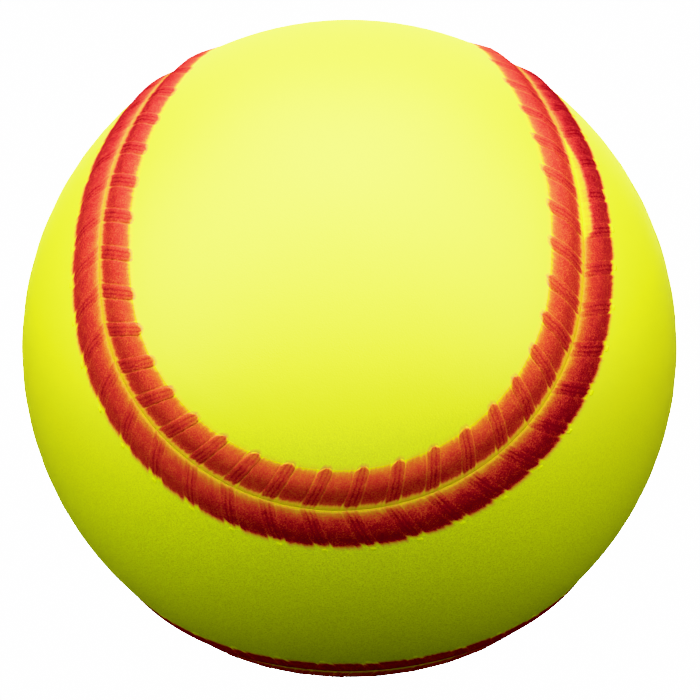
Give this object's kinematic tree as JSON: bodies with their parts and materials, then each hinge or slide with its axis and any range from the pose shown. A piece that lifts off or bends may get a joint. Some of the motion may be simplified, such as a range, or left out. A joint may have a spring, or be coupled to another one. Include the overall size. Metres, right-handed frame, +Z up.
{
  "type": "softball",
  "caption": "Fluorescent yellow moulded softball: a foam core in a cover of matching figure-of-eight panels, with a raised red stitched seam, for pitching, batting and catching.",
  "frame": {"origin": "centre of the ball", "axes": "+Z up; -Y is the side seen in the picture, where a lobe of the upper panel faces the viewer; +X is to the viewer's right. The middle of the upper panel's waist leans back from +Z towards +Y"},
  "size_m": [0.097, 0.097, 0.0978],
  "materials": {
    "core_foam": "closed-cell polyurethane foam, matt",
    "cement": "dried cement film, satin",
    "cover_yellow": "moulded fluorescent yellow skin, matt",
    "seam_red": "thin red paint over the yellow moulding, matt",
    "stitch_red": "thin red paint over the yellow moulding, matt"
  },
  "bodies": {
    "root": {"core": "core_foam", "cement_layer": "cement", "upper_cover_panel": "cover_yellow", "lower_cover_panel": "cover_yellow", "upper_seam_bead": "seam_red", "lower_seam_bead": "seam_red", "upper_stitches": "stitch_red", "lower_stitches": "stitch_red"}
  },
  "joints": []
}
